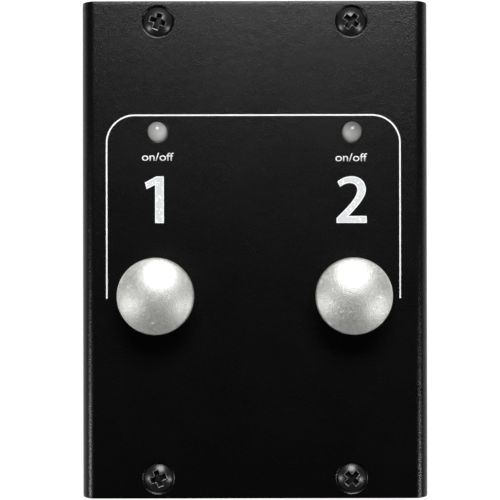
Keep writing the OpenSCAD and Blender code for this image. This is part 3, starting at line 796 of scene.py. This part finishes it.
panel_washer = flat_washer(
    "panel_washer", 8 * mm, switch_hole_r, washer_low.z, washer_high.z, 0.2 * mm, "black_nylon")
for piece in set_out(panel_washer, pair("panel_washer", button_x, button_y)):
    belongs(piece, "case", "black_nylon", "panel_washers")


# Socket in the rear wall
jack_nut = hex_nut("jack_nut_piece", 12.7 * mm, 4.8 * mm, jack_nut_low.y, jack_nut_high.y, "nickel")
lay_on_jack_axis(jack_nut)
belongs(jack_nut, "case", "nickel", "jack_nut")

jack_washer = flat_washer(
    "jack_washer_piece", 6.7 * mm, 4.95 * mm, jack_washer_low.y, jack_washer_high.y, 0.12 * mm, "zinc_steel")
lay_on_jack_axis(jack_washer)
belongs(jack_washer, "case", "zinc_steel", "jack_washer")


def jack_bushing():
    first = jack_bush_low.y
    mouth = jack_bush_high.y
    shoulder = first + 4.5 * mm
    thread = 4.75 * mm
    bore = 3.25 * mm
    collar_r = 6 * mm
    collar_end = shoulder + 1 * mm
    profile = [(bore, first), (thread, first), (thread, shoulder), (collar_r, shoulder)]
    profile += [(collar_r, collar_end), (thread, collar_end)]
    pitch = 0.6 * mm
    groove = 0.18 * mm
    along = shoulder + 1.3 * mm
    while along + pitch < mouth - 0.4 * mm:
        profile += [(thread - groove, along + pitch / 2), (thread, along + pitch)]
        along += pitch
    ease = 0.25 * mm
    mouth_r = 0.7 * mm
    profile += [(thread, mouth - ease), (thread - ease, mouth)]
    profile += arc(bore + mouth_r, mouth - mouth_r, mouth_r, 90, 180, 6)
    profile += [(bore, first)]
    bushing = turned("jack_bushing_piece", profile, sides=96, ring=True)
    lay_on_jack_axis(bushing)
    paint(bushing, finishes["nickel"])
    shade(bushing, 30)
    belongs(bushing, "case", "nickel", "jack_bushing")


jack_bushing()


def socket_wire(name, x, z):
    lead = 4 * mm
    lug = (x, contact_low.y, z)
    pad = (x, middle_y + 19 * mm, board_high.z)
    route = bpy.data.curves.new(name, "CURVE")
    route.dimensions = "3D"
    route.bevel_depth = 0.6 * mm
    route.bevel_resolution = 4
    route.resolution_u = 32
    route.use_fill_caps = True
    spline = route.splines.new("BEZIER")
    spline.bezier_points.add(1)
    for knot, end, y, z_out in zip(spline.bezier_points, (lug, pad), (-lead, 0), (0, lead)):
        knot.handle_left_type = knot.handle_right_type = "FREE"
        knot.co = end
        knot.handle_left = knot.handle_right = (end[0], end[1] + y, end[2] + z_out)
    wire = as_mesh(name, route)
    open_mesh(wire)
    close_mesh()
    paint(wire, finishes["red_wire"])
    shade(wire, 50, even=False)
    belongs(wire, "case", "red_wire", "jack_wires")


lug_r = 4.7 * mm
socket_wire("tip_wire", -lug_r, jack_z)
socket_wire("ring_wire", 0, jack_z + lug_r)
socket_wire("sleeve_wire", lug_r, jack_z)


# Rubber feet and their screws
foot_r = 6.5 * mm
foot_x = feet_high.x - foot_r
foot_rear = feet_high.y - foot_r
foot_front = feet_low.y + foot_r


def rubber_foot():
    high = feet_high.z
    low = feet_low.z
    seat = low + 2.4 * mm
    bore_r = 1.7 * mm
    recess_r = 3.2 * mm
    lip_r = 0.35 * mm
    sole_r = 0.9 * mm
    top_r = 0.3 * mm
    profile = [(bore_r, seat), (recess_r, seat), (recess_r, low + lip_r)]
    profile += arc(recess_r + lip_r, low + lip_r, lip_r, 180, 270, 4)[1:]
    profile += arc(5.05 * mm, low + sole_r, sole_r, -90, 0, 6)
    profile += [(6.4 * mm, high - 0.35 * mm)]
    profile += arc(foot_r - top_r, high - top_r, top_r, 0, 90, 4)
    profile += [(bore_r, high), (bore_r, seat)]
    foot = turned("rubber_foot", profile, sides=64, ring=True)
    paint(foot, finishes["rubber"])
    shade(foot, 40)
    return foot


def foot_screw():
    low = foot_screw_low.z
    high = foot_screw_high.z
    seat = low + 2 * mm
    pan_r = 2.8 * mm
    shank_r = 1.5 * mm
    round_r = 1.1 * mm
    profile = [(1.6 * mm, low)] + arc(pan_r - round_r, low + round_r, round_r, -90, 0, 8)
    profile += [(pan_r, seat), (shank_r, seat), (shank_r, high - 0.4 * mm), (1.2 * mm, high)]
    screw = turned("foot_screw", profile, sides=64)
    tool = cross_tool(
        0, deep=1.2 * mm, span=3 * mm, width=0.75 * mm, core=0.7 * mm, past=0.3 * mm, narrow=0.6)
    tool.rotation_euler = (math.pi, 0, 0)
    tool.location = (0, 0, low)
    fix_place(tool)
    cut(screw, tool)
    paint(screw, finishes["zinc_steel"])
    shade(screw, 32, even=False)
    return screw


corners = [("rear_left", -foot_x, foot_rear), ("rear_right", foot_x, foot_rear)]
corners += [("front_left", -foot_x, foot_front), ("front_right", foot_x, foot_front)]
for piece in set_out(rubber_foot(), [("rubber_foot_" + n, x, y, 0) for n, x, y in corners]):
    belongs(piece, "case", "rubber", "rubber_feet")
for piece in set_out(foot_screw(), [("foot_screw_" + n, x, y, 20) for n, x, y in corners]):
    belongs(piece, "case", "zinc_steel", "foot_screws")


# Return springs, wound from round wire
def return_spring():
    wire = 0.3 * mm
    mean = 4.4 * mm
    turns = 4
    steps = 48 * turns
    bpy.ops.object.select_all(action="DESELECT")
    bpy.ops.mesh.primitive_circle_add(
        vertices=12, radius=wire, location=(mean, 0, spring_low.z + wire), rotation=(math.pi / 2, 0, 0))
    spring = bpy.context.object
    spring.name = "return_spring"
    fix_place(spring)
    rise = spring_high.z - spring_low.z - 2 * wire
    apply_modifier(spring, "SCREW", angle=2 * math.pi * turns, screw_offset=rise,
                   steps=steps, render_steps=steps, axis="Z")
    open_mesh(spring)
    bpy.ops.mesh.select_non_manifold()
    bpy.ops.mesh.fill_holes(sides=0)
    close_mesh()
    paint(spring, finishes["spring_steel"])
    shade(spring, 50, even=False)
    return spring


coil_places = pair("wound_spring", button_x, button_y)
for number, piece in enumerate(set_out(return_spring(), coil_places), 1):
    belongs(piece, "case", "spring_steel", f"return_spring_{number}")
    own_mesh(piece)


# White print on the top face
ink_t = 0.02 * mm


def thicken(piece, rim=0.0, slimmer=0.0):
    paint(piece, finishes["white_ink"])
    open_mesh(piece, "FACE")
    bpy.ops.mesh.select_all(action="SELECT")
    if rim:
        bpy.ops.mesh.dissolve_limited(angle_limit=0.01)
        bpy.ops.mesh.inset(thickness=slimmer, use_boundary=True)
        bpy.ops.mesh.select_all(action="INVERT")
        bpy.ops.mesh.delete(type="FACE")
        bpy.ops.mesh.select_all(action="SELECT")
    bpy.ops.mesh.extrude_region_move(TRANSFORM_OT_translate={"value": (0, 0, ink_t)})
    if rim:
        piece.data.materials.append(finishes["numeral_ink"])
        bpy.ops.mesh.inset(thickness=rim, use_boundary=True)
        piece.active_material_index = 1
        bpy.ops.object.material_slot_assign()
    close_mesh()
    belongs(piece, "case", "case_black")


def bracket_line():
    width = 0.4 * mm
    left = -38.57 * mm
    right = 37.83 * mm
    top = middle_y + 35.06 * mm
    bottom = middle_y - 12.7 * mm
    corner = 7.3 * mm
    bpy.ops.object.select_all(action="DESELECT")
    bpy.ops.mesh.primitive_plane_add(size=1, location=(left, (bottom + top - corner) / 2, plate_z))
    line = bpy.context.object
    line.name = "print_bracket"
    line.scale = (width, top - corner - bottom, 1)
    fix_place(line)
    open_mesh(line)
    choose_edges(line, lambda e: all(v.co.y > top - corner - hair for v in e.verts))
    to_right = (right - left - 2 * corner, 0, 0)
    to_bottom = (0, bottom - top + corner, 0)
    for x, run in ((left + corner, to_right), (right - corner, to_bottom)):
        bpy.ops.mesh.spin(steps=20, angle=math.pi / 2, center=(x, top - corner, plate_z), axis=(0, 0, 1))
        bpy.ops.mesh.extrude_edges_move(TRANSFORM_OT_translate={"value": run})
    close_mesh()
    thicken(line)


bracket_line()


# Numerals: outlines in units of 1.077 mm
def flat_shape(name, points, handles, shift, slimmer):
    unit = 1.077 * mm
    curve = bpy.data.curves.new(name, "CURVE")
    curve.dimensions = "2D"
    curve.fill_mode = "BOTH"
    curve.resolution_u = 16
    spline = curve.splines.new("BEZIER")
    spline.bezier_points.add(len(points) - 1)
    for knot, point, (before, after) in zip(spline.bezier_points, points, handles):
        knot.handle_left_type = knot.handle_right_type = "FREE"
        knot.co = (point[0] * unit, point[1] * unit, 0)
        knot.handle_left = (before[0] * unit, before[1] * unit, 0)
        knot.handle_right = (after[0] * unit, after[1] * unit, 0)
    spline.use_cyclic_u = True
    shape = as_mesh(name, curve)
    shape.location = (shift[0], shift[1], plate_z)
    fix_place(shape)
    thicken(shape, rim=0.28 * mm, slimmer=slimmer)


# Numeral one, about the middle of its foot
one = [(2.19, 11.4), (2.19, 0), (0, 0), (0, 9.2), (-2.03, 8.2), (-2.48, 9.88), (0.36, 11.4)]
one_place = (-26.01 * mm, middle_y + 6.92 * mm)
flat_shape("print_numeral_1", one, [(p, p) for p in one], one_place, 0.04 * mm)

# Numeral two, from its lower left corner
two = [(0.0, 0.0), (7.46, 0.0), (7.46, 1.86), (3.15, 1.86), (7.26, 8.03), (3.7, 11.46), (0.2, 10.13),
       (0.89, 8.65), (3.32, 9.66), (5.03, 8.03), (0.0, 1.31)]
two_handles = [
    ((0, 0), (0, 0)), ((7.46, 0), (7.46, 0)), ((7.46, 1.86), (7.46, 1.86)), ((3.15, 1.86), (4.83, 3.6)),
    ((7.26, 6.2), (7.26, 10.15)), ((5.8, 11.46), (2.46, 11.46)), ((1.33, 11.03), (0.2, 10.13)),
    ((0.89, 8.65), (1.58, 9.24)), ((2.46, 9.66), (4.38, 9.66)), ((5.03, 8.9), (5.03, 6.3)),
    ((2.56, 3.8), (0.0, 1.31))]
flat_shape("print_numeral_2", two, two_handles, (21.2 * mm, middle_y + 6.84 * mm), 0.08 * mm)


def switch_word(name, x, y):
    length = 8.26 * mm
    text = bpy.data.curves.new(name, "FONT")
    text.body = "on/off"
    text.fill_mode = "BOTH"
    text.size = 2.95 * mm
    text.offset = 0.02 * mm
    text.resolution_u = 8
    word = as_mesh(name, text)
    low = min(v.co.x for v in word.data.vertices)
    high = max(v.co.x for v in word.data.vertices)
    word.scale.x = length / (high - low)
    word.location = (x - low * word.scale.x, y, plate_z)
    fix_place(word)
    thicken(word)


switch_word("print_word_1", -29.38 * mm, middle_y + 23.23 * mm)
switch_word("print_word_2", 21.0 * mm, middle_y + 23.01 * mm)


# Camera straight above, as in the photograph
camera_data = bpy.data.cameras.new("camera")
camera_data.sensor_width = 36
camera_data.lens = 98.26
camera_data.shift_x = -0.0213
camera_data.clip_start = 0.01
camera = bpy.data.objects.new("camera", camera_data)
camera.location = (1.5 * mm, middle_y - 0.08 * mm, plate_z + 355.4 * mm)
camera.rotation_euler = (0, 0, math.radians(-0.1))
bpy.context.scene.collection.objects.link(camera)
bpy.context.scene.camera = camera


# Three softboxes
def softbox(name, lean, toward, wide, tall, power):
    distance = 0.6
    data = bpy.data.lights.new(name, "AREA")
    data.shape = "RECTANGLE"
    data.size = wide
    data.size_y = tall
    data.energy = power
    light = bpy.data.objects.new(name, data)
    length = math.hypot(*toward)
    flat = math.sin(math.radians(lean)) * distance
    light.location = (toward[0] / length * flat, middle_y + toward[1] / length * flat,
                      plate_z + math.cos(math.radians(lean)) * distance)
    aim = -light.location
    aim.z += plate_z
    light.rotation_mode = "QUATERNION"
    light.rotation_quaternion = aim.to_track_quat("-Z", "Y")
    bpy.context.scene.collection.objects.link(light)


softbox("back_light", lean=38, toward=(0.08, 1.0), wide=0.32, tall=0.27, power=3.8)
softbox("left_light", lean=55, toward=(-0.945, -0.33), wide=0.1, tall=0.1, power=0.8)
softbox("right_light", lean=54, toward=(0.905, -0.425), wide=0.1, tall=0.1, power=0.78)


# How much a ray shows the white surroundings: all for the camera, half for reflections
def seen_directly(finish):
    ray = finish.add("ShaderNodeLightPath")
    shows = Level(finish, ray.outputs["Is Camera Ray"]) + Level(finish, ray.outputs["Is Transmission Ray"])
    return shows + 0.5 * Level(finish, ray.outputs["Is Glossy Ray"])


# World: a dark studio with a pale strip of backdrop along the horizon
world = bpy.data.worlds.new("studio")
world.use_nodes = True
bpy.context.scene.world = world
sky = Finish("studio", world.node_tree)
heading = sky.add("ShaderNodeSeparateXYZ", None, {0: sky.add("ShaderNodeTexCoord").outputs["Generated"]})
up = heading.outputs["Z"]
glow = sky.ramp(up, [(0, grey(0.03)), (0.3, grey(0.04)), (0.7, grey(0.03)), (1, grey(0.01))])
strip = sky.ramp(up, [
    (0, grey(1)), (0.185, grey(1)), (0.21, grey(0.04)), (0.7, grey(0.03)), (1, grey(0.01))])
studio = sky.add("ShaderNodeBackground", None, {"Color": glow})
backdrop = sky.add("ShaderNodeBackground", None, {"Color": strip})
around = sky.add("ShaderNodeMixShader", None, {
    0: seen_directly(sky), 1: studio.outputs[0], 2: backdrop.outputs[0]})
sky.add("ShaderNodeOutputWorld", None, {"Surface": around.outputs[0]})

# Pale floor that keeps the shadow, and is white further out
bpy.ops.object.select_all(action="DESELECT")
bpy.ops.mesh.primitive_plane_add(size=40, location=(0, 0, -0.01 * mm))
floor = bpy.context.object
floor.name = "floor"
base = Finish("pale_floor")
away = base.add("ShaderNodeVectorMath", {"operation": "LENGTH"}, {0: base.place()})
whiter = base.rise(away.outputs["Value"], 0.25, 1.2, "SMOOTHSTEP")
tone = base.between(whiter, grey(0.88), grey(1))
glowing = base.add("ShaderNodeEmission", None, {"Color": tone})
matt_low = base.add("ShaderNodeBsdfDiffuse", None, {"Color": (*grey(0.3), 1)})
matt = base.add("ShaderNodeBsdfDiffuse", None, {"Color": (*grey(0.8), 1)})
bright = base.add("ShaderNodeAddShader", None, {0: glowing.outputs[0], 1: matt_low.outputs[0]})
chosen = base.add("ShaderNodeMixShader", None, {
    0: seen_directly(base), 1: matt.outputs[0], 2: bright.outputs[0]})
base.add("ShaderNodeOutputMaterial", None, {"Surface": chosen.outputs[0]})
paint(floor, base.material)

bpy.context.scene.view_settings.view_transform = "Standard"

# Bring the scene up to date
bpy.context.view_layer.update()
